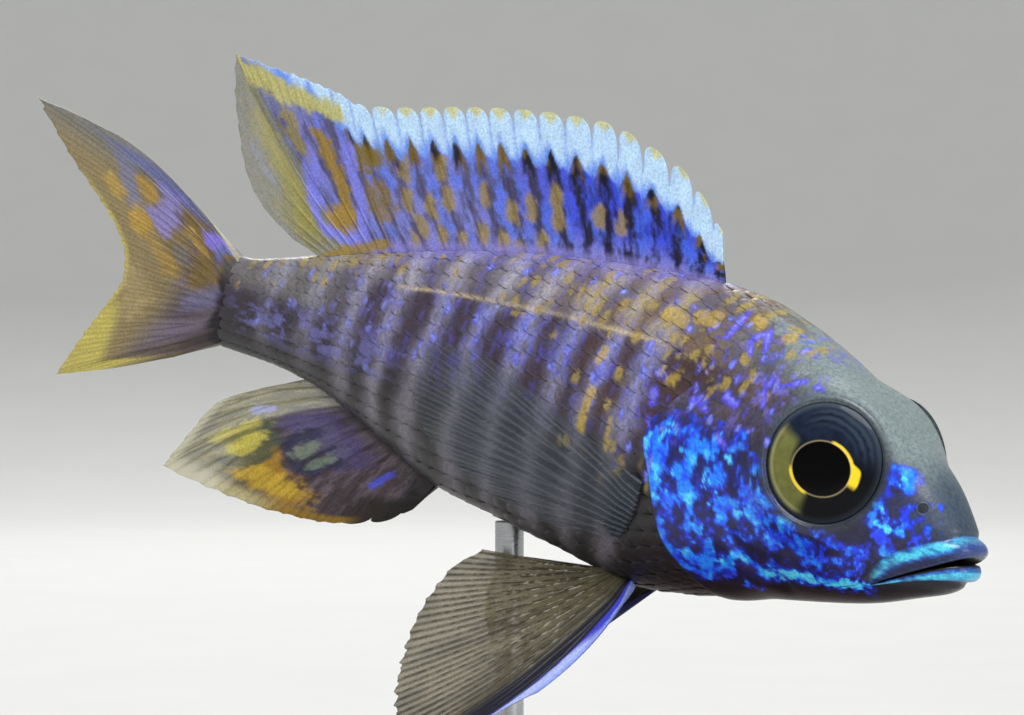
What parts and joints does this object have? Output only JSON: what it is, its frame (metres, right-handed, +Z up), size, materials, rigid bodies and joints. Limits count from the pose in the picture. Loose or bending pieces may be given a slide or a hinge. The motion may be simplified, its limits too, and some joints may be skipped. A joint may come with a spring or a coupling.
{
  "type": "peacock cichlid fish model",
  "caption": "Life-size still model of a male peacock cichlid with spread fins, held over a round base by one rod.",
  "frame": {"origin": "bottom centre of the bounding box, on the underside of the base", "axes": "+X the way the fish heads, +Y its left, +Z up"},
  "size_m": [0.1248, 0.084, 0.0888],
  "materials": {
    "skin_head": "moist skin, violet-black with bright blue marks",
    "skin_body": "scaled skin with dark and pale grey bars",
    "skin_tail": "scaled skin, dark violet-brown",
    "eye_glass": "clear and glossy, black pupil in a gold-edged iris",
    "dorsal_membrane": "thin membrane, violet-blue with ochre spots and a pale edge",
    "anal_membrane": "thin membrane, ochre and violet with yellow egg spots",
    "tail_membrane": "thin membrane, ochre-yellow with violet patches",
    "paired_membrane": "thin smoky membrane with fine rays",
    "base_wood": "oiled dark wood",
    "rod_steel": "brushed steel"
  },
  "bodies": {
    "root": {"head": "skin_head", "torso": "skin_body", "tail_stalk": "skin_tail", "eye_left": "eye_glass", "eye_right": "eye_glass", "dorsal_fin": "dorsal_membrane", "anal_fin": "anal_membrane", "tail_fin": "tail_membrane", "pelvic_fin_left": "paired_membrane", "pelvic_fin_right": "paired_membrane", "pectoral_fin_left": "paired_membrane", "pectoral_fin_right": "paired_membrane", "stand_base": "base_wood", "stand_collar": "rod_steel", "stand_rod": "rod_steel"}
  },
  "joints": []
}
